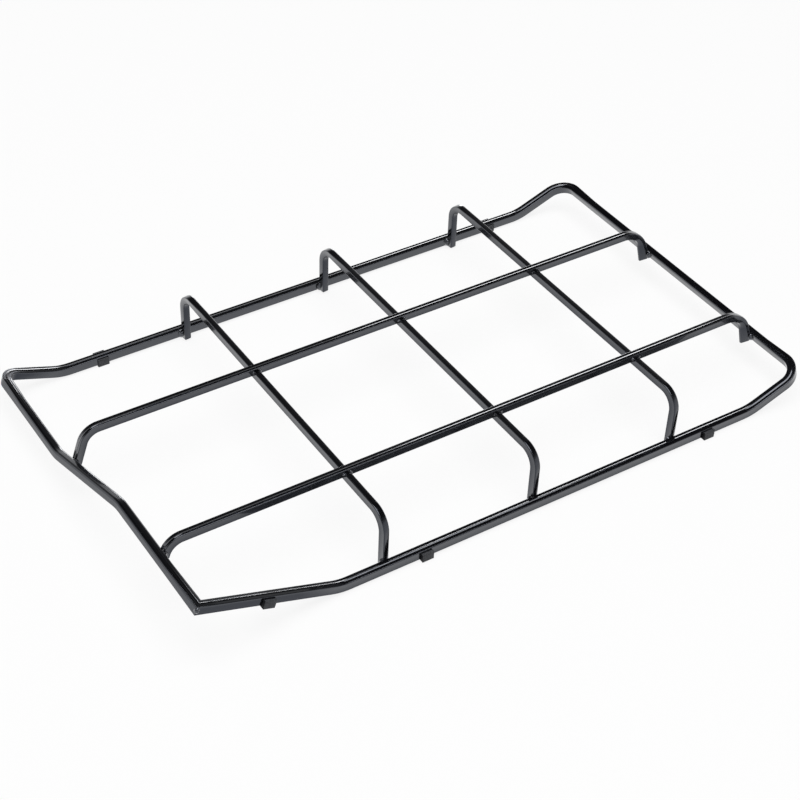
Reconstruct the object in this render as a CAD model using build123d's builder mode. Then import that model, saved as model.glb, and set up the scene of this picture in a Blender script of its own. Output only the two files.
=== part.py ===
# Hob pan support: a grid of square bar welded inside a folded frame of heavier square bar,
# standing on rubber feet that clip over the frame.
# Millimetres. Z is up from the hob top, X runs along the long bars, the origin is under the middle.
import os
from math import cos, radians, sin, tan

from build123d import *

# Bar stock
frame_bar = 6.0
grid_bar = 5.0
bar_edge = 0.4

# Frame, measured between bar axes
end_span = 472.0
side_span = 274.0
left_slope = radians(19.0)
right_slope = radians(20.3)
left_rise_run = 42.5
right_rise_run = 43.9
high_end_drop = 5.8
joggle_rear_y = 44.4
joggle_front_y = -35.9
fold_bend = 38.0
joggle_bend = 38.0
right_corner_bend = 15.0
left_corner_bend = 10.5

# Grid
pan_height = 45.5
cross_drop = 2.4
left_cross_inset = 136.0
right_cross_inset = 109.5
long_pitch = 115.2
long_middle_y = -28.0
left_leg_bend = 12.3
right_leg_bend = 20.8
cross_leg_bend = 12.3

# Rubber feet
foot_length = 8.5
foot_base = 1.4
foot_outer_wall = 2.4
foot_inner_wall = 1.0
foot_below_top = 1.0
foot_edge = 0.7
rear_foot_inset = 72.7
ramp_foot_inset = 45.1
front_foot_offset = 26.4

# Weld beads
bead_width = 2.4
bead_bulge = 0.35
corner_bead_radius = 1.3

# Heights and places that follow from the sizes above
frame_under_z = foot_base
frame_z = frame_under_z + frame_bar / 2
long_z = pan_height - grid_bar / 2
cross_z = long_z - cross_drop
side_y = side_span / 2
left_x = -end_span / 2
right_x = end_span / 2
leg_offset = (frame_bar + grid_bar) / 2
cross_leg_y = side_y - leg_offset

left_low_z = frame_z + left_rise_run * tan(left_slope)
left_high_z = long_z - high_end_drop
joggle_lift = (left_high_z - left_low_z) / cos(left_slope)
left_high_x = left_x + joggle_lift * sin(left_slope)
rear_left_fold_x = left_x + left_rise_run
front_left_fold_x = rear_left_fold_x + joggle_lift / sin(left_slope)
right_fold_x = right_x - right_rise_run
right_z = frame_z + right_rise_run * tan(right_slope)

long_bar_y = {
    "rear_long_bar": long_middle_y + long_pitch / 2,
    "front_long_bar": long_middle_y - long_pitch / 2,
}
left_cross_x = left_x + left_cross_inset
right_cross_x = right_x - right_cross_inset
cross_bar_x = {
    "left_cross_bar": left_cross_x,
    "middle_cross_bar": (left_cross_x + right_cross_x) / 2,
    "right_cross_bar": right_cross_x,
}

# Directions at the folded ends: across an end bar towards the grid, and square to its slope
left_inward = Vector(cos(left_slope), 0, -sin(left_slope))
left_upright = Vector(sin(left_slope), 0, cos(left_slope))
right_inward = Vector(-cos(right_slope), 0, -sin(right_slope))
right_upright = Vector(-sin(right_slope), 0, cos(right_slope))


# Axis of the left end bar at a given Y: low behind the joggle, high in front of it
def left_end_axis(y):
    share = (joggle_rear_y - y) / (joggle_rear_y - joggle_front_y)
    lift = joggle_lift * min(max(share, 0), 1)
    return Vector(left_x, y, left_low_z) + left_upright * lift


def right_end_axis(y):
    return Vector(right_x, y, right_z)


# A leg lies on the inner face of an end bar and leans with it up to the long bar's axis height
def leg_line(end_axis, inward, upright):
    middle = end_axis + inward * leg_offset
    tip = middle - upright * (frame_bar / 2)
    knee = middle + upright * ((long_z - middle.Z) / upright.Z)
    return tip, knee


# A foot's seat has its origin on the bar's axis, its X outwards and its Y up
def foot_seat(x, side, z=frame_z, along=Vector(1, 0, 0)):
    return Plane((x, side * side_y, z), x_dir=(0, side, 0), z_dir=along * side)


os.makedirs("parts", exist_ok=True)

# Frame: one bar bent round, folded up at both ends and mitred at the front left corner
front_middle = Vector(0, -side_y, frame_z)
rear_middle = Vector(0, side_y, frame_z)
mitre = Vector(left_high_x, -side_y, left_high_z)
with BuildPart() as outer_frame:
    with BuildLine() as left_line:
        FilletPolyline(front_middle, (front_left_fold_x, -side_y, frame_z), mitre, radius=fold_bend)
        FilletPolyline(
            mitre,
            (left_high_x, joggle_front_y, left_high_z),
            (left_x, joggle_rear_y, left_low_z),
            (left_x, side_y, left_low_z),
            (rear_left_fold_x, side_y, frame_z),
            rear_middle,
            radius=[joggle_bend, joggle_bend, left_corner_bend, fold_bend],
        )
    with BuildLine() as right_line:
        FilletPolyline(
            front_middle,
            (right_fold_x, -side_y, frame_z),
            (right_x, -side_y, right_z),
            (right_x, side_y, right_z),
            (right_fold_x, side_y, frame_z),
            rear_middle,
            radius=[fold_bend, right_corner_bend, right_corner_bend, fold_bend],
        )
    for half_line in (left_line, right_line):
        with BuildSketch(Plane(origin=front_middle, x_dir=(0, 1, 0), z_dir=(1, 0, 0))) as section:
            Rectangle(frame_bar, frame_bar)
            chamfer(section.vertices(), bar_edge)
        sweep(path=half_line.wires()[0], transition=Transition.RIGHT)
outer_frame.part.label = "outer_frame"
export_step(outer_frame.part, "parts/outer_frame.step")

# Long bars: the pan stands on them, and both ends bend down onto the frame's end bars
long_bars = []
for name, y in long_bar_y.items():
    left_tip, left_knee = leg_line(left_end_axis(y), left_inward, left_upright)
    right_tip, right_knee = leg_line(right_end_axis(y), right_inward, right_upright)
    with BuildPart() as long_bar:
        with BuildLine() as long_line:
            FilletPolyline(left_tip, left_knee, right_knee, right_tip, radius=[left_leg_bend, right_leg_bend])
        with BuildSketch(Plane(origin=left_tip, x_dir=(0, 1, 0), z_dir=left_upright)) as section:
            Rectangle(grid_bar, grid_bar)
            chamfer(section.vertices(), bar_edge)
        sweep(path=long_line.wires()[0])
    long_bar.part.label = name
    export_step(long_bar.part, f"parts/{name}.step")
    long_bars.append(long_bar.part)

# Cross bars: staples that stand on the frame's sides, each notched where a long bar is pressed into it
for name, x in cross_bar_x.items():
    with BuildPart() as cross_bar:
        with BuildLine() as cross_line:
            FilletPolyline(
                (x, -cross_leg_y, frame_under_z),
                (x, -cross_leg_y, cross_z),
                (x, cross_leg_y, cross_z),
                (x, cross_leg_y, frame_under_z),
                radius=cross_leg_bend,
            )
        with BuildSketch(Plane.XY.offset(frame_under_z)) as section:
            with Locations((x, -cross_leg_y)):
                Rectangle(grid_bar, grid_bar)
            chamfer(section.vertices(), bar_edge)
        sweep(path=cross_line.wires()[0])
        add(long_bars, mode=Mode.SUBTRACT)
    cross_bar.part.label = name
    export_step(cross_bar.part, f"parts/{name}.step")

# Rubber feet: channels pushed over the bar from below, the thicker wall outside
ramp_foot_x = left_high_x + ramp_foot_inset
ramp_foot_z = left_high_z - ramp_foot_inset * tan(left_slope)
foot_seats = {
    "rear_left_foot": foot_seat(left_x + rear_foot_inset, 1),
    "rear_right_foot": foot_seat(right_x - rear_foot_inset, 1),
    "front_left_foot": foot_seat(ramp_foot_x, -1, ramp_foot_z, left_inward),
    "front_middle_foot": foot_seat(left_cross_x + front_foot_offset, -1),
    "front_right_foot": foot_seat(right_cross_x + front_foot_offset, -1),
}
for name, seat in foot_seats.items():
    with BuildPart() as foot:
        with BuildSketch(seat) as channel:
            with Locations((-frame_bar / 2 - foot_inner_wall, -frame_bar / 2 - foot_base)):
                Rectangle(
                    foot_inner_wall + frame_bar + foot_outer_wall,
                    foot_base + frame_bar - foot_below_top,
                    align=Align.MIN,
                )
            Rectangle(frame_bar, frame_bar, mode=Mode.SUBTRACT)
            fillet(channel.vertices().group_by(Axis.Y)[0], foot_edge)
        extrude(amount=foot_length / 2, both=True)
    foot.part.label = name
    export_step(foot.part, f"parts/{name}.step")

# Weld beads: one beside each leg, in the corner between it and the frame's inner face,
# and one that closes the mitre's outer edge.
# A corner has its X along the frame's face and its Y along the leg's face.
bead_corners = []
for x in cross_bar_x.values():
    for side in (1, -1):
        corner = Vector(x - grid_bar / 2, side * (side_y - frame_bar / 2), frame_z)
        bead_corners.append(Plane(corner, x_dir=(-1, 0, 0), z_dir=(0, 0, side)))
for y in long_bar_y.values():
    beside = Vector(0, -grid_bar / 2, 0)
    for axis, inward, upright in (
        (left_end_axis(y), left_inward, left_upright),
        (right_end_axis(y), right_inward, -right_upright),
    ):
        corner = axis + inward * (frame_bar / 2) + beside
        bead_corners.append(Plane(corner, x_dir=(0, -1, 0), z_dir=upright))
with BuildPart() as weld_beads:
    for corner in bead_corners:
        with BuildSketch(corner):
            with BuildLine():
                Polyline((bead_width, 0), (0, 0), (0, bead_width))
                SagittaArc((0, bead_width), (bead_width, 0), bead_bulge)
            make_face()
        extrude(amount=frame_bar / 2 - bar_edge, both=True)
    mitre_edge = mitre - left_inward * (frame_bar / 2) - Vector(0, frame_bar / 2, 0)
    with BuildSketch(Plane(mitre_edge, x_dir=(0, 1, 0), z_dir=left_upright)):
        Circle(corner_bead_radius)
    extrude(amount=frame_bar / 2 - bar_edge, both=True)
    add(outer_frame.part, mode=Mode.SUBTRACT)
weld_beads.part.label = "weld_beads"
export_step(weld_beads.part, "parts/weld_beads.step")
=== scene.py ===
import math

import bmesh
import bpy
from mathutils import Matrix, Vector


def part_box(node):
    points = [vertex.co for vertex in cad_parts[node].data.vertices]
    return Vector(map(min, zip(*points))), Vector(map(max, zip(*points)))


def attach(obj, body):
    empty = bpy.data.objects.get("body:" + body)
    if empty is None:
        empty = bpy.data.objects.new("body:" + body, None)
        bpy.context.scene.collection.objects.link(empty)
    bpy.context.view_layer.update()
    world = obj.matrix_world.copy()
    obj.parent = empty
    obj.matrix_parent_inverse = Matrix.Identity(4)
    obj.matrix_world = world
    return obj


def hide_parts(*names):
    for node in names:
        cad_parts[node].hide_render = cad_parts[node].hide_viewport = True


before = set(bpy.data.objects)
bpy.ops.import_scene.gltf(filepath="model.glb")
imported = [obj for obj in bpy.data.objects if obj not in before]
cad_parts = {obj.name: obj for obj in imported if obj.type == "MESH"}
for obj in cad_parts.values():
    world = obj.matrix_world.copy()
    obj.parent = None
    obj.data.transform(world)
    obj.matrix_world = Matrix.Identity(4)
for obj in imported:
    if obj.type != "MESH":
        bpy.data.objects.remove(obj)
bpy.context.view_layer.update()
print("frame loaded:", len(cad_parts), "nodes")


# shader maths: a wire is one socket of a node tree
class Wire:
    def __init__(self, tree, socket=None):
        self.tree = tree
        self.socket = socket

    # any node: its type, its settings first, then the values or links of its sockets
    def node(self, kind, settings=None, values=None, out=0):
        made = self.tree.nodes.new(kind)
        for name, value in (settings or {}).items():
            if name == "stops":
                ramp = made.color_ramp.elements
                while len(ramp) < len(value):
                    ramp.new(0.5)
                for stop, (place, shade) in zip(ramp, value):
                    stop.position = place
                    stop.color = (*shade, 1)
            else:
                setattr(made, name, value)
        for name, value in (values or {}).items():
            if isinstance(value, Wire):
                self.tree.links.new(value.socket, made.inputs[name])
            else:
                made.inputs[name].default_value = value
        return Wire(self.tree, made.outputs[out] if len(made.outputs) else None)

    def maths(self, operation, a, b):
        return self.node("ShaderNodeMath", {"operation": operation}, {0: a, 1: b})

    def __add__(self, other):
        return self.maths("ADD", self, other)

    __radd__ = __add__

    def __sub__(self, other):
        return self.maths("SUBTRACT", self, other)

    def __rsub__(self, other):
        return self.maths("SUBTRACT", other, self)

    def __mul__(self, other):
        return self.maths("MULTIPLY", self, other)

    __rmul__ = __mul__


# an empty material, and a wire to hang its nodes on
def newMaterial(name):
    material = bpy.data.materials.new(name)
    material.use_nodes = True
    material.node_tree.nodes.clear()
    return material, Wire(material.node_tree)


# sockets 6 and 7 of a Mix node are its two colours
def mixColour(wire, share, a, b):
    return wire.node(
        "ShaderNodeMix", {"data_type": "RGBA"}, {"Factor": share, 6: a, 7: b}, out=2
    )


def noise(wire, place, perMetre, detail):
    return wire.node(
        "ShaderNodeTexNoise", None, {"Vector": place, "Scale": perMetre, "Detail": detail}
    )


def attribute(wire, name):
    return wire.node("ShaderNodeAttribute", {"attribute_name": name}, out=2)


# gloss black enamel, fired on: orange peel and a fine grain, paler along the bars' edges,
# with less of its gloss coat where a bar is dull, which is painted shade
enamel = {
    "black": (0.0018, 0.0018, 0.0023, 1),
    "greyer": (0.0042, 0.0042, 0.0051, 1),
    "edge": (0.012, 0.012, 0.014, 1),
    "tint": (0.72, 0.80, 1.0, 1),
    "roughness": 0.12,
    "cloudRoughness": 0.06,
    "edgeRoughness": 0.05,
    "coat": 0.92,
    "edgeCoatLoss": 0.25,
    "coatRoughness": 0.03,
    "ior": 1.55,
    "cloudPerMetre": 46,
    "peelPerMetre": 620,
    "grainPerMetre": 3200,
    "bump": 0.01,
    "bumpDepth": 0.0004,
    "grainBump": 0.12,
    "weldPeel": 2.5,
}


def enamelMaterial(name="blackEnamel", peelGain=1.0):
    material, wire = newMaterial(name)
    place = wire.node("ShaderNodeTexCoord", out=3)  # Object coordinates
    cloud = noise(wire, place, enamel["cloudPerMetre"], detail=3)
    grain = noise(wire, place, enamel["grainPerMetre"], detail=2)
    peel = noise(wire, place, enamel["peelPerMetre"], detail=1)
    rim = attribute(wire, "rim")
    dull = attribute(wire, "dull")
    body = mixColour(wire, cloud, enamel["black"], enamel["greyer"])
    colour = mixColour(wire, rim * grain, body, enamel["edge"])
    bump = wire.node(
        "ShaderNodeBump",
        None,
        {
            "Strength": enamel["bump"] * peelGain,
            "Distance": enamel["bumpDepth"],
            "Height": peel + grain * enamel["grainBump"],
        },
    )
    roughness = enamel["roughness"] + cloud * enamel["cloudRoughness"] + rim * enamel["edgeRoughness"]
    shader = wire.node(
        "ShaderNodeBsdfPrincipled",
        None,
        {
            "Base Color": colour,
            "Roughness": roughness,
            "Specular Tint": enamel["tint"],
            "Coat Weight": enamel["coat"] * (1 - dull) * (1 - rim * enamel["edgeCoatLoss"]),
            "Coat Roughness": enamel["coatRoughness"],
            "Coat IOR": enamel["ior"],
            "IOR": enamel["ior"],
            "Normal": bump,
        },
    )
    wire.node("ShaderNodeOutputMaterial", None, {"Surface": shader})
    return material


# extruded heat-resistant rubber with a dusty skin; a darker copy of it on the cut ends is painted shade
rubber = {
    "dark": (0.020, 0.021, 0.024),
    "dusty": (0.060, 0.063, 0.070),
    "endPaintedShade": 0.3,
    "roughness": 0.5,
    "dustRoughness": 0.2,
    "ior": 1.4,
    "shine": 0.5,
    "dustPerMetre": 260,
    "dustShow": 1.6,
    "grainPerMetre": 2400,
    "bump": 0.25,
    "bumpDepth": 0.0002,
    "dustBump": 0.5,
}


def rubberMaterial(name="footRubber", shade=1.0):
    material, wire = newMaterial(name)
    dark = (*(c * shade for c in rubber["dark"]), 1)
    dusty = (*(c * shade for c in rubber["dusty"]), 1)
    place = wire.node("ShaderNodeTexCoord", out=3)  # Object coordinates
    dust = noise(wire, place, rubber["dustPerMetre"], detail=4)
    grain = noise(wire, place, rubber["grainPerMetre"], detail=3)
    colour = mixColour(wire, dust * grain * rubber["dustShow"], dark, dusty)
    bump = wire.node(
        "ShaderNodeBump",
        None,
        {
            "Strength": rubber["bump"],
            "Distance": rubber["bumpDepth"],
            "Height": grain + dust * rubber["dustBump"],
        },
    )
    shader = wire.node(
        "ShaderNodeBsdfPrincipled",
        None,
        {
            "Base Color": colour,
            "Roughness": rubber["roughness"] + dust * rubber["dustRoughness"],
            "IOR": rubber["ior"],
            "Specular IOR Level": rubber["shine"] * shade,
            "Normal": bump,
        },
    )
    wire.node("ShaderNodeOutputMaterial", None, {"Surface": shader})
    return material


blackEnamel = enamelMaterial()
weldEnamel = enamelMaterial("weldEnamel", enamel["weldPeel"])
footRubber = rubberMaterial()
# the cut ends: the rubber darkened, painted shade
shadedEndRubber = rubberMaterial("shadedEndRubber", rubber["endPaintedShade"])
print("materials ready")


def addObject(name, data):
    made = bpy.data.objects.new(name, data)
    bpy.context.scene.collection.objects.link(made)
    return made


def meshObject(bm, name, material):
    mesh = bpy.data.meshes.new(name)
    bm.to_mesh(mesh)
    bm.free()
    mesh.materials.append(material)
    return addObject(name, mesh)


# one finished piece: its mesh, its material and the node it stands for, which is hidden; the piece hangs
# under the root body
def finishPiece(bm, name, node, material):
    piece = meshObject(bm, name, material)
    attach(piece, "root")
    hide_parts(node)
    return piece


def clamp(share):
    return min(max(share, 0), 1)


def edgesIn(geom):
    return [g for g in geom if isinstance(g, bmesh.types.BMEdge)]


def vertsIn(geom):
    return [g for g in geom if isinstance(g, bmesh.types.BMVert)]


# cuts the whole mesh along a plane and keeps both sides
def cutAt(bm, place, normal):
    whole = bm.verts[:] + bm.edges[:] + bm.faces[:]
    bmesh.ops.bisect_plane(bm, geom=whole, plane_co=place, plane_no=normal)


# square bar under its enamel: rounded corners, and on some bars crowned faces, a swell along the top
# or a softer far edge; the section's -Y is the bar's top
section = {
    "cuts": 27,
    "edgeSteps": 5,
    "rimReach": 1.05,  # how far past its rounding a corner counts as rim
    "fewestSteps": 4,  # round a bend
    "stepDegrees": 4,
}


# the move that would bring a top corner of the section to a larger radius
def softer(co, half, radius):
    middle = Vector((math.copysign(half - radius, co.x), radius - half, 0))
    out = co - middle
    if out.x * co.x <= 0 or out.y >= 0 or out.length <= radius:
        return Vector()
    return out.normalized() * radius - out


def sectionLoop(bm, stock, shape):
    side = stock + 2 * shape["enamel"]
    half = side / 2
    edge = shape["edge"]
    rim = bm.verts.layers.float.new("rim")
    raised = bm.verts.layers.float.new("raised")
    dull = bm.verts.layers.float.new("dull")
    seat = bm.verts.layers.float_vector.new("seat")
    square = bmesh.ops.create_circle(bm, cap_ends=True, segments=4, radius=side / math.sqrt(2))
    upright = Matrix.Rotation(math.radians(45), 3, "Z")
    bmesh.ops.rotate(bm, verts=square["verts"], cent=(0, 0, 0), matrix=upright)
    bmesh.ops.bevel(
        bm,
        geom=bm.verts[:],
        offset=edge,
        segments=section["edgeSteps"],
        profile=0.5,
        affect="VERTICES",
        material=-1,
    )
    flats = [e for e in bm.edges if e.calc_length() > half]
    bmesh.ops.subdivide_edges(bm, edges=flats, cuts=section["cuts"])
    for v in bm.verts:
        v[rim] = 1 if min(abs(v.co.x), abs(v.co.y)) > half - edge * section["rimReach"] else 0
        v[seat] = v.co
        v[dull] = (v.co.y / side + 0.5) ** 2  # painted shade: less coat from 0 on top to 1 underneath, so the lower sides are darker
        if v.co.x < 0:
            v.co += softer(v.co, half, shape["farSoft"])
        if abs(v.co.y) > half - edge:
            v.co.y *= 1 + 2 * shape["crown"] / side * (1 - (2 * v.co.x / side) ** 2)
        if v.co.y < edge - half:
            off = (v.co.x - shape["swellAt"]) / shape["swellWidth"]
            v[raised] = shape["swell"] * math.exp(-(off**2))
            v.co.y -= v[raised]
    bmesh.ops.delete(bm, geom=bm.faces[:], context="FACES_ONLY")
    return bm.edges[:]


# slides a ring of vertices along a heading onto a plane
def slideTo(ring, place, heading, normal):
    for v in ring:
        v.co += heading * ((place - v.co).dot(normal) / heading.dot(normal))


# sweeps the section along straight runs and round bends: a route is (corner, bend radius) pairs,
# and a closed one ends in a mitre where it began
def sweepBar(stock, shape, route, across, closed=False):
    bm = bmesh.new()
    loop = sectionLoop(bm, stock, shape)
    corners = [Vector(p) for p, bend in route]
    headings = [(b - a).normalized() for a, b in zip(corners, corners[1:])]
    nextHeadings = headings[1:] + [headings[0] if closed else headings[-1]]
    up = headings[0].cross(Vector(across))
    turn = Matrix((Vector(across), -up, headings[0])).transposed().to_4x4()
    bmesh.ops.transform(bm, matrix=Matrix.Translation(corners[0]) @ turn, verts=bm.verts[:])
    if closed:
        slideTo(bm.verts[:], corners[0], headings[0], headings[-1] + headings[0])
    for i, (heading, after) in enumerate(zip(headings, nextHeadings)):
        corner, bend = corners[i + 1], route[i + 1][1]
        angle = heading.angle(after)
        stop = corner - heading * (bend * math.tan(angle / 2))
        grown = bmesh.ops.extrude_edge_only(bm, edges=loop)["geom"]
        loop, ring = edgesIn(grown), vertsIn(grown)
        slideTo(ring, stop, heading, heading if bend else heading + after)
        if bend:
            axis = heading.cross(after).normalized()
            steps = math.ceil(math.degrees(angle) / section["stepDegrees"])
            spun = bmesh.ops.spin(
                bm,
                geom=loop + ring,
                cent=stop + axis.cross(heading) * bend,
                axis=axis,
                angle=angle,
                steps=max(section["fewestSteps"], steps),
            )
            loop = edgesIn(spun["geom_last"])
    return bm


# closes open ends with a slightly broken edge
def closeEnds(bm, broken):
    rims = [e for e in bm.edges if e.is_boundary]
    ends = bmesh.ops.holes_fill(bm, edges=rims, sides=0)["faces"]
    edges = list({e for f in ends for e in f.edges})
    bmesh.ops.bevel(
        bm, geom=edges, offset=broken, segments=2, profile=0.5, affect="EDGES", material=-1
    )


creaseAngle = math.radians(35)  # sharper edges than this stay sharp


def smoothFaces(bm):
    bmesh.ops.recalc_face_normals(bm, faces=bm.faces[:])
    for f in bm.faces:
        f.smooth = True
    for e in bm.edges:
        e.smooth = e.is_boundary or e.calc_face_angle(0) < creaseAngle


# outer rail, bent round from one bar and folded up at both ends
rail = {
    "side": 0.006,
    "endSpan": 0.472,
    "leftSlope": math.radians(19.0),
    "rightSlope": math.radians(20.3),
    "leftRun": 0.0425,
    "rightRun": 0.0439,
    "highEnd": 0.0372,
    "joggleRear": 0.0444,
    "joggleFront": -0.0359,
    "foldBend": 0.038,
    "joggleBend": 0.038,
    "rightCorner": 0.015,
    "leftCorner": 0.0105,
    "leftRoll": math.radians(-11),  # the end bars about their own axes
    "rightRoll": math.radians(4),
    "rollFrom": 0.1,  # the roll is full between this Y and its opposite
    "endSoft": 0.0018,  # rounding of the end bars' top edges
    "rightSoft": 0.0028,  # and of the right one's far edge
    "dullFrom": 0.0035,  # height over the low rail where the left end starts to be dull, painted shade
    "dullRun": 0.006,
    "dullFade": 2.5,  # how fast the dullness grows down from the top
    "dullCut": -0.165,  # a cut at this X keeps the dullness off the low sides
    "rampLess": 0.15,  # share of the swell that is missing on the left ramps
    "rampLean": math.radians(6),  # the rear left ramp, towards the grid
    "leanRun": 0.008,
}
railShape = {
    "edge": 0.00045,
    "enamel": 0.00008,
    "crown": 0.00001,
    "swell": 0.00025,
    "swellWidth": 0.00052,
    "swellAt": 0,
    "farSoft": 0,
}
railLow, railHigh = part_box("outer_frame")
railZ = railLow.z + rail["side"] / 2
sideY = railHigh.y - rail["side"] / 2
leftX, rightX = -rail["endSpan"] / 2, rail["endSpan"] / 2
leftTan, rightTan = math.tan(rail["leftSlope"]), math.tan(rail["rightSlope"])
leftZ = railZ + rail["leftRun"] * leftTan
rightZ = railZ + rail["rightRun"] * rightTan
lift = (rail["highEnd"] - leftZ) / math.cos(rail["leftSlope"])
leftIn = Vector((math.cos(rail["leftSlope"]), 0, -math.sin(rail["leftSlope"])))
leftUp = Vector((math.sin(rail["leftSlope"]), 0, math.cos(rail["leftSlope"])))
rightIn = Vector((-math.cos(rail["rightSlope"]), 0, -math.sin(rail["rightSlope"])))
rightUp = Vector((-math.sin(rail["rightSlope"]), 0, math.cos(rail["rightSlope"])))
highX = leftX + lift * leftUp.x
rearFoldX = leftX + rail["leftRun"]
frontFoldX = rearFoldX + lift / leftUp.x
rightFoldX = rightX - rail["rightRun"]
mitre = Vector((highX, -sideY, rail["highEnd"]))


# the left end bar's axis climbs from low to high between the two joggle bends
def leftAxis(y):
    share = (rail["joggleRear"] - y) / (rail["joggleRear"] - rail["joggleFront"])
    return Vector((leftX, y, leftZ)) + leftUp * (lift * clamp(share))


def rightAxis(y):
    return Vector((rightX, y, rightZ))


# between their corners the end bars have rolled a little back to level, with soft edges and no swell;
# the left end and its ramps are dull, painted shade on their sides, and the rear one leans
def finishEnds(bm):
    cornerX = leftX + rail["leftCorner"]
    for y in (rail["rollFrom"], -rail["rollFrom"]):
        cutAt(bm, (0, y, 0), (0, 1, 0))
    for x in (rail["dullCut"], rearFoldX - rail["leanRun"], cornerX + rail["leanRun"]):
        cutAt(bm, (x, 0, 0), (1, 0, 0))
    raised, dull = bm.verts.layers.float["raised"], bm.verts.layers.float["dull"]
    seat = bm.verts.layers.float_vector["seat"]
    half = rail["side"] / 2 + railShape["enamel"]
    level = sideY - rail["rightCorner"]
    for v in bm.verts:
        share = clamp((level - abs(v.co.y)) / (level - rail["rollFrom"]))
        if v.co.x < 0:
            centre, inward, upright, roll = leftAxis(v.co.y), leftIn, leftUp, rail["leftRoll"]
            # painted shade: the left end's sides lose gloss coat higher up
            leftEndRise = clamp((v.co.z - railZ - rail["dullFrom"]) / rail["dullRun"])
        else:
            centre, inward, upright, roll = rightAxis(v.co.y), rightIn, rightUp, rail["rightRoll"]
            leftEndRise = 0
        if v.co.y > -level:
            v[dull] = 0
        v[dull] += (1 - v[dull]) * leftEndRise * min(rail["dullFade"] * (v[seat].y / half + 1), 1)
        v.co -= upright * (v[raised] * max(share, leftEndRise * rail["rampLess"]))
        cut = softer(v[seat], half, rail["rightSoft" if v[seat].x < 0 < v.co.x else "endSoft"])
        v.co += (inward * cut.x - upright * cut.y) * share
        v.co = centre + Matrix.Rotation(roll * share, 3, "Y") @ (v.co - centre)
        if v.co.y > level and cornerX < v.co.x < rearFoldX:
            fromEnd = min(v.co.x - cornerX, rearFoldX - v.co.x)
            lean = min(fromEnd / rail["leanRun"], 1)
            ramp = Vector((v.co.x, sideY, railZ + (rearFoldX - v.co.x) * leftTan))
            v.co = ramp + Matrix.Rotation(rail["rampLean"] * lean, 3, "X") @ (v.co - ramp)


def makeRail():
    route = [
        (mitre, 0),
        ((frontFoldX, -sideY, railZ), rail["foldBend"]),
        ((rightFoldX, -sideY, railZ), rail["foldBend"]),
        ((rightX, -sideY, rightZ), rail["rightCorner"]),
        ((rightX, sideY, rightZ), rail["rightCorner"]),
        ((rightFoldX, sideY, railZ), rail["foldBend"]),
        ((rearFoldX, sideY, railZ), rail["foldBend"]),
        ((leftX, sideY, leftZ), rail["leftCorner"]),
        ((leftX, rail["joggleRear"], leftZ), rail["joggleBend"]),
        ((highX, rail["joggleFront"], rail["highEnd"]), rail["joggleBend"]),
        (mitre, 0),
    ]
    bm = sweepBar(rail["side"], railShape, route, (0, 1, 0), closed=True)
    bmesh.ops.remove_doubles(bm, verts=bm.verts[:], dist=1e-5)
    finishEnds(bm)
    smoothFaces(bm)
    finishPiece(bm, "outerRail", "outer_frame", blackEnamel)


makeRail()
print("outer rail swept")

# grid of lighter bar: long bars on top, let into the cross bars below them
grid = {
    "side": 0.005,
    "leftBend": 0.0123,
    "rightBend": 0.0208,
    "crossBend": 0.0123,
    "endBreak": 0.0003,
    "twist": {"front_long_bar": math.radians(4.2)},  # long bars about their own axes
    "crossTwist": math.radians(8),  # the whole of a cross bar
    "legTwist": math.radians(8),  # its front leg, on top of that
    "rearTwist": math.radians(-15),  # its rear leg
    "untwistRun": 0.018,  # length of bar before the rear bend that takes up the rear twist
    "topShare": 0.4,  # of a bar's side: higher in its section than this is its top
    "tipFrom": 0.022,  # heights over a right tip where it starts to spread and to thin
    "thinFrom": 0.026,
    "thinRun": 0.012,
    "tipGrow": 0.0025,
    "tipThin": 0.3,  # share of its thickness that a tip keeps
    "tipBack": 0.00075,
    "dullFrom": 0.034,  # height over a right tip where its leg starts to be dull, painted shade
    "dullRun": 0.008,
}
longShape = {
    "edge": 0.0004,
    "enamel": 0.00008,
    "crown": 0.00005,
    "swell": 0.00017,
    "swellWidth": 0.00048,
    "swellAt": -0.0008,
    "farSoft": 0,
}
crossShape = {
    **longShape,
    "edge": 0.0006,
    "enamel": 0.00002,
    "crown": 0.00013,
    "swell": 0,
    "farSoft": 0.0012,
}
legOut = (rail["side"] + grid["side"]) / 2


# a leg lies on an end bar's inner face: its tip at that bar's underside, its knee at the long bar's axis
def legEnds(axis, inward, upright, barZ):
    middle = axis + inward * legOut
    return middle - upright * (rail["side"] / 2), middle + upright * ((barZ - middle.z) / upright.z)


# the right tips are pressed flat: thinner, set back and spread inwards; their legs are dull towards the
# tips, painted shade
def flattenTip(bm, tip):
    dull, seat = bm.verts.layers.float["dull"], bm.verts.layers.float_vector["seat"]
    half = grid["side"] / 2 + longShape["enamel"]
    for v in bm.verts:
        above = (v.co - tip).dot(rightUp)
        if v.co.x < 0 or above > grid["dullFrom"]:
            continue
        v[dull] = max(v[dull], clamp((grid["dullFrom"] - above) / grid["dullRun"]))
        under = max(v[seat].y / half, 0)
        spread = clamp(1 - above / grid["tipFrom"]) * under
        thin = clamp((grid["thinFrom"] - above) / grid["thinRun"]) * under
        v.co += rightIn * (spread * grid["tipGrow"])
        v.co.y += thin * (tip.y + grid["tipBack"] - v.co.y) * (1 - grid["tipThin"])


def makeLongBar(node, name):
    low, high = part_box(node)
    y = (low.y + high.y) / 2
    barZ = high.z - grid["side"] / 2
    leftTip, leftKnee = legEnds(leftAxis(y), leftIn, leftUp, barZ)
    rightTip, rightKnee = legEnds(rightAxis(y), rightIn, rightUp, barZ)
    route = [(leftTip, 0), (leftKnee, grid["leftBend"]), (rightKnee, grid["rightBend"]), (rightTip, 0)]
    twist = Matrix.Rotation(-grid["twist"].get(node, 0), 3, leftUp)
    bm = sweepBar(grid["side"], longShape, route, twist @ Vector((0, 1, 0)))
    flattenTip(bm, rightTip)
    closeEnds(bm, grid["endBreak"])
    smoothFaces(bm)
    finishPiece(bm, name, node, blackEnamel)
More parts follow.
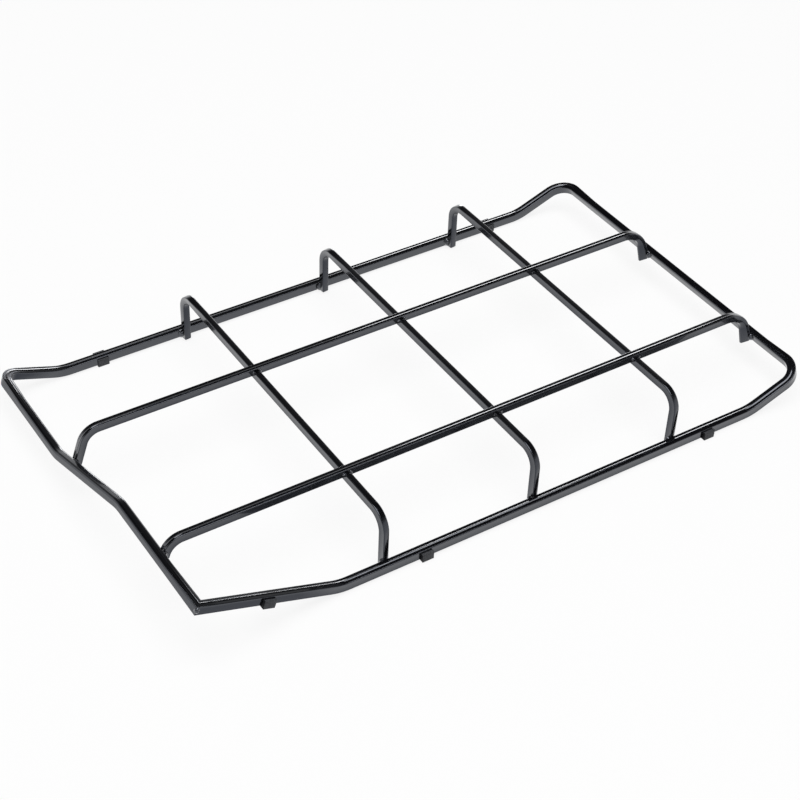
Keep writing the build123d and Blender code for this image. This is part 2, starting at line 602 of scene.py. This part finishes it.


# the front leg is twisted further round its bend and dull in front, which is painted shade, the rear one
# is twisted back again
def twistLegs(bm, x, bendY, bendZ):
    runIn = bendY - grid["untwistRun"]
    cutAt(bm, (0, runIn, 0), (0, 1, 0))
    dull, seat = bm.verts.layers.float["dull"], bm.verts.layers.float_vector["seat"]
    for v in bm.verts:
        side = 1 if v.co.y > 0 else -1
        past = side * v.co.y - bendY
        if past > 0:
            turned = math.atan2(max(v.co.z - bendZ, 0), past)
            centre = Vector((x, side * bendY, min(v.co.z, bendZ)))
        else:
            turned = math.pi / 2
            centre = Vector((x, v.co.y, bendZ))
        centre += Vector((0, side * math.cos(turned), math.sin(turned))) * grid["crossBend"]
        along = Vector((0, math.sin(turned), -side * math.cos(turned)))
        if side < 0:
            bent = 1 - turned / (math.pi / 2)
            extra = grid["legTwist"] * bent
            # painted shade on the front of the front leg
            if v[seat].y < -grid["topShare"] * grid["side"]:
                v[dull] = bent
        else:
            extra = grid["rearTwist"] * clamp((v.co.y - runIn) / grid["untwistRun"])
        v.co = centre + Matrix.Rotation(extra, 3, along) @ (v.co - centre)


def makeCrossBar(node, name):
    low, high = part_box(node)
    x = (low.x + high.x) / 2
    legY = high.y - grid["side"] / 2
    barZ = high.z - grid["side"] / 2
    route = [
        ((x, -legY, low.z), 0),
        ((x, -legY, barZ), grid["crossBend"]),
        ((x, legY, barZ), grid["crossBend"]),
        ((x, legY, low.z), 0),
    ]
    twist = Matrix.Rotation(grid["crossTwist"], 3, "Z")
    bm = sweepBar(grid["side"], crossShape, route, twist @ Vector((-1, 0, 0)))
    twistLegs(bm, x, legY - grid["crossBend"], barZ - grid["crossBend"])
    closeEnds(bm, grid["endBreak"])
    smoothFaces(bm)
    finishPiece(bm, name, node, blackEnamel)


longBars = {"rear_long_bar": "longBarRear", "front_long_bar": "longBarFront"}
crossBars = {
    "left_cross_bar": "crossBarLeft",
    "middle_cross_bar": "crossBarMiddle",
    "right_cross_bar": "crossBarRight",
}
for node, name in longBars.items():
    makeLongBar(node, name)
for node, name in crossBars.items():
    makeCrossBar(node, name)
print("grid bars swept")

# weld beads: a lumpy run beside each leg, flash at the crossings and a cap on the mitre
weld = {
    "reach": 0.0025,
    "height": 0.0033,
    "flash": 0.0011,
    "cap": 0.0016,
    "capStretch": 1.3,
    "lump": 0.1,
    "waves": (4, 7, 5),  # ripples over a blob, along its own X, Y and Z
}


def weldBlob(bm, place, along, size, seed):
    ball = bmesh.ops.create_icosphere(bm, subdivisions=3, radius=1)["verts"]
    for v in ball:
        x, y, z = (wave * c for wave, c in zip(weld["waves"], v.co))
        ripple = math.sin(z + seed) * math.sin(x + 2 * seed) + math.sin(y + seed)
        v.co *= 1 + weld["lump"] * ripple
    turn = Vector(along).to_track_quat("Z", "Y").to_matrix().to_4x4()
    stretch = Matrix.Diagonal((*size, 1))
    bmesh.ops.transform(bm, matrix=Matrix.Translation(place) @ turn @ stretch, verts=ball)


def makeWelds():
    bm = bmesh.new()
    seed = 0
    railHalf, gridHalf = rail["side"] / 2, grid["side"] / 2
    bead = (weld["reach"], weld["reach"], weld["height"])
    for node in crossBars:
        low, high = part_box(node)
        for side in (1, -1):
            seed += 1
            weldBlob(bm, Vector((low.x, side * (sideY - railHalf), railZ)), (0, 0, 1), bead, seed)
        for crossed in longBars:
            barLow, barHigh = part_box(crossed)
            for x in (low.x, high.x):
                for y in (barLow.y, barHigh.y):
                    seed += 1
                    weldBlob(bm, Vector((x, y, high.z)), (0, 0, 1), (weld["flash"],) * 3, seed)
    for node in longBars:
        low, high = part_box(node)
        y = (low.y + high.y) / 2
        for axis, inward, upright in ((leftAxis(y), leftIn, leftUp), (rightAxis(y), rightIn, rightUp)):
            seed += 1
            weldBlob(bm, axis + inward * railHalf - Vector((0, gridHalf, 0)), upright, bead, seed)
    # the cap sits a little up and in from the mitre's outer edge
    cap = weld["cap"]
    edge = mitre - leftIn * railHalf - Vector((0, railHalf, 0))
    edge += leftUp * (cap / 2) + leftIn * (cap / 3)
    weldBlob(bm, edge, leftUp, (cap, cap, weld["capStretch"] * cap), seed)
    smoothFaces(bm)
    finishPiece(bm, "weldBeads", "weld_beads", weldEnamel)


makeWelds()
print("welds laid")

# rubber feet: channels pressed up over the rail, the outer wall the thicker one
foot = {
    "base": 0.0014,
    "outer": 0.0024,
    "inner": 0.001,
    "belowTop": 0.001,
    "length": 0.0085,
    "round": 0.0004,
    "roundFrom": math.radians(40),  # edges sharper than this are rounded
    "endFacing": 0.8,  # faces turned this far along the rail are cut ends, which get the painted-shade rubber
}
feet = {
    "rear_left_foot": "footRearLeft",
    "rear_right_foot": "footRearRight",
    "front_left_foot": "footFrontLeft",
    "front_middle_foot": "footFrontMiddle",
    "front_right_foot": "footFrontRight",
}


# the channel's section, X outwards and Y up from the rail's axis, drawn out along Z
def footChannel():
    half = rail["side"] / 2
    bm = bmesh.new()
    block = bmesh.ops.create_cube(bm, size=1)["verts"]
    width = foot["inner"] + rail["side"] + foot["outer"]
    tall = foot["base"] + rail["side"] - foot["belowTop"]
    middle = Vector(((foot["outer"] - foot["inner"]) / 2, half - foot["belowTop"] - tall / 2, 0))
    place = Matrix.Translation(middle) @ Matrix.Diagonal((width, tall, foot["length"], 1))
    bmesh.ops.transform(bm, matrix=place, verts=block)
    # cut the block along the rail's faces, then take out what the rail fills
    cutAt(bm, (-half, 0, 0), (1, 0, 0))
    cutAt(bm, (half, 0, 0), (1, 0, 0))
    cutAt(bm, (0, -half, 0), (0, 1, 0))
    inside = []
    for f in bm.faces:
        spot = f.calc_center_median()
        if abs(spot.x) < half and spot.y > -half:
            inside.append(f)
    bmesh.ops.delete(bm, geom=inside, context="FACES")
    openEdges = [e for e in bm.edges if e.is_boundary]
    bmesh.ops.holes_fill(bm, edges=openEdges, sides=0)
    bmesh.ops.recalc_face_normals(bm, faces=bm.faces[:])
    hard = [e for e in bm.edges if e.calc_face_angle(0) > foot["roundFrom"]]
    bmesh.ops.bevel(
        bm, geom=hard, offset=foot["round"], segments=3, profile=0.5, affect="EDGES", material=-1
    )
    bm.normal_update()
    for f in bm.faces:
        f.material_index = 1 if abs(f.normal.z) > foot["endFacing"] else 0
    return bm


def makeFoot(node, name):
    low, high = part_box(node)
    centre = (low + high) / 2
    side = 1 if centre.y > 0 else -1
    outward, upright = Vector((0, side, 0)), Vector((0, 0, 1))
    seat = Vector((centre.x, side * sideY, railZ))
    if low.z > railZ:  # the foot on the ramp
        upright = leftUp
        seat.z = rail["highEnd"] - (centre.x - highX) * leftTan
    turn = Matrix((outward, upright, outward.cross(upright))).transposed().to_4x4()
    bm = footChannel()
    bmesh.ops.transform(bm, matrix=Matrix.Translation(seat) @ turn, verts=bm.verts[:])
    smoothFaces(bm)
    piece = finishPiece(bm, name, node, footRubber)
    piece.data.materials.append(shadedEndRubber)


for node, name in feet.items():
    makeFoot(node, name)
print("feet fitted")

# white studio: a wide floor that curves up into a low wall all round
studio = {
    "radius": 9.0,
    "sides": 96,
    "curve": 1.2,
    "curveSteps": 8,
    "wall": 2.2,
    "albedo": 0.82,
    "white": 0.86,  # share of plain white that the camera and reflections see
}


def paperMaterial():
    material, wire = newMaterial("whitePaper")
    path = "ShaderNodeLightPath"  # its outputs 0, 3 and 6: camera, glossy and transmission rays
    seen = wire.maths("MAXIMUM", wire.node(path, out=0), wire.node(path, out=3))
    seen = wire.maths("MAXIMUM", seen, wire.node(path, out=6))
    paper = wire.node("ShaderNodeBsdfDiffuse", None, {"Color": (studio["albedo"],) * 3 + (1,)})
    white = wire.node("ShaderNodeEmission", None, {"Color": (1, 1, 1, 1), "Strength": 1})
    both = wire.node("ShaderNodeMixShader", None, {0: seen * studio["white"], 1: paper, 2: white})
    wire.node("ShaderNodeOutputMaterial", None, {"Surface": both})
    return material


def makeStudio():
    bm = bmesh.new()
    bmesh.ops.create_circle(bm, cap_ends=True, segments=studio["sides"], radius=studio["radius"])
    loop = bm.edges[:]
    for i in range(studio["curveSteps"]):
        grown = bmesh.ops.extrude_edge_only(bm, edges=loop)["geom"]
        loop = edgesIn(grown)
        angle = math.radians(90) * (i + 1) / studio["curveSteps"]
        reach = studio["radius"] + studio["curve"] * math.sin(angle)
        for v in vertsIn(grown):
            flat = Vector((v.co.x, v.co.y, 0)).normalized() * reach
            v.co = (flat.x, flat.y, studio["curve"] * (1 - math.cos(angle)))
    grown = bmesh.ops.extrude_edge_only(bm, edges=loop)["geom"]
    bmesh.ops.translate(bm, verts=vertsIn(grown), vec=(0, 0, studio["wall"] - studio["curve"]))
    for f in bm.faces:
        f.smooth = True
    floor = meshObject(bm, "studioFloor", paperMaterial())


makeStudio()

# lamps: a large soft one overhead and a tall soft one behind to the right
lamps = {
    "overhead": {"place": (-0.2, -0.3, 2.4), "aim": (0, 0, 0), "size": (2.6, 2.6), "watts": 82},
    "rearStrip": {"place": (3.85, 6.22, 1.30), "aim": (0, 0, 0), "size": (1.64, 2.3), "watts": 66},
}
# sky by the height of a direction: pale walls, dark ceiling
sky = [(0.0, 0.95), (0.14, 0.75), (0.30, 0.36), (0.46, 0.08), (0.60, 0.015), (0.80, 0.006), (1.0, 0.006)]


def makeLamps():
    for name, lamp in lamps.items():
        light = bpy.data.lights.new(name, "AREA")
        light.shape = "RECTANGLE"
        light.size, light.size_y = lamp["size"]
        light.energy = lamp["watts"]
        holder = addObject(name, light)
        away = Vector(lamp["place"]) - Vector(lamp["aim"])
        holder.location = lamp["place"]
        holder.rotation_euler = away.to_track_quat("Z", "Y").to_euler()
        holder.visible_camera = False


def makeSky():
    world = bpy.data.worlds.new("studioSky")
    world.use_nodes = True
    world.node_tree.nodes.clear()
    wire = Wire(world.node_tree)
    toward = wire.node("ShaderNodeTexCoord", out=0)
    height = wire.node("ShaderNodeSeparateXYZ", None, {"Vector": toward}, out=2)
    stops = [(place, (grey, grey, grey)) for place, grey in sky]
    shade = wire.node("ShaderNodeValToRGB", {"stops": stops}, {"Fac": height})
    back = wire.node("ShaderNodeBackground", None, {"Color": shade})
    wire.node("ShaderNodeOutputWorld", None, {"Surface": back})
    bpy.context.scene.world = world


makeLamps()
makeSky()

# camera at the photograph's angle; its heading is clockwise from +Y, its tilt below the horizon
shot = {
    "place": (-0.5340, -0.7854, 0.7896),
    "heading": math.radians(34.03),
    "tilt": math.radians(39.89),
    "roll": math.radians(2.37),
    "lens": 80.71,
    "sensor": 36,
}


def makeCamera():
    camera = bpy.data.cameras.new("shot")
    camera.lens = shot["lens"]
    camera.sensor_width = shot["sensor"]
    holder = addObject("shot", camera)
    heading = Matrix.Rotation(-shot["heading"], 4, "Z")
    tilt = Matrix.Rotation(math.pi / 2 - shot["tilt"], 4, "X")
    roll = Matrix.Rotation(shot["roll"], 4, "Z")
    holder.matrix_world = Matrix.Translation(shot["place"]) @ heading @ tilt @ roll
    bpy.context.scene.camera = holder


makeCamera()
bpy.context.scene.view_settings.view_transform = "Standard"
print("studio, lamps and camera set")
